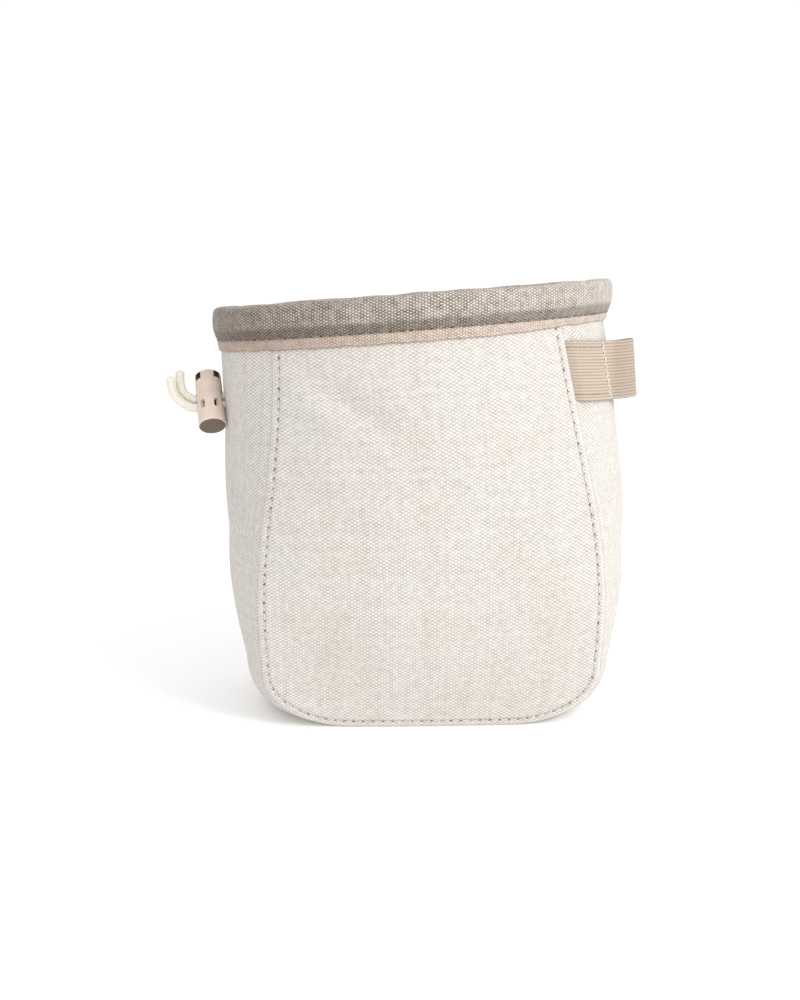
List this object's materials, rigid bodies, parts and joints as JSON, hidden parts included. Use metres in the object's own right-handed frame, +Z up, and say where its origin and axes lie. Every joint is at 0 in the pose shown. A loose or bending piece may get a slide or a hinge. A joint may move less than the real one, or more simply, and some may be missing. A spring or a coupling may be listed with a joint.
{
  "type": "climbing chalk bag",
  "caption": "Open cloth bucket with a stiff bound rim, tongue-shaped front panel, closing cord with a lock, brush loop and belt loop.",
  "frame": {"origin": "centre of the flat base that the bag stands on", "axes": "+Z up out of the mouth, -Y the front with the tongue-shaped panel, +X the side with the brush loop"},
  "size_m": [0.1659, 0.1172, 0.153],
  "materials": {
    "canvas": "natural plain-weave cotton canvas, matt",
    "rim_cloth": "taupe coarse plain-weave nylon, slight sheen",
    "collar_cloth": "plain thin cloth, matt",
    "webbing": "ribbed taupe webbing",
    "lock_plastic": "satin moulded plastic",
    "cord": "braided cream cord"
  },
  "bodies": {
    "bag": {"front_panel": "canvas", "back_panel": "canvas", "side_gusset": "canvas", "rim_binding": "rim_cloth", "closure_collar": "collar_cloth", "brush_loop": "webbing", "belt_loop": "webbing", "cord_lock_barrel": "lock_plastic", "draw_cord_upper": "cord", "draw_cord_lower": "cord"},
    "button": {"cord_lock_button": "lock_plastic"}
  },
  "joints": [
    {"name": "button_press", "type": "slide", "parent": "bag", "child": "button", "axis": [0.1338, -0.637, -0.7592], "range_m": [0, 0.002], "stiffness_N_per_m": 300, "springref_m": -0.002}
  ]
}
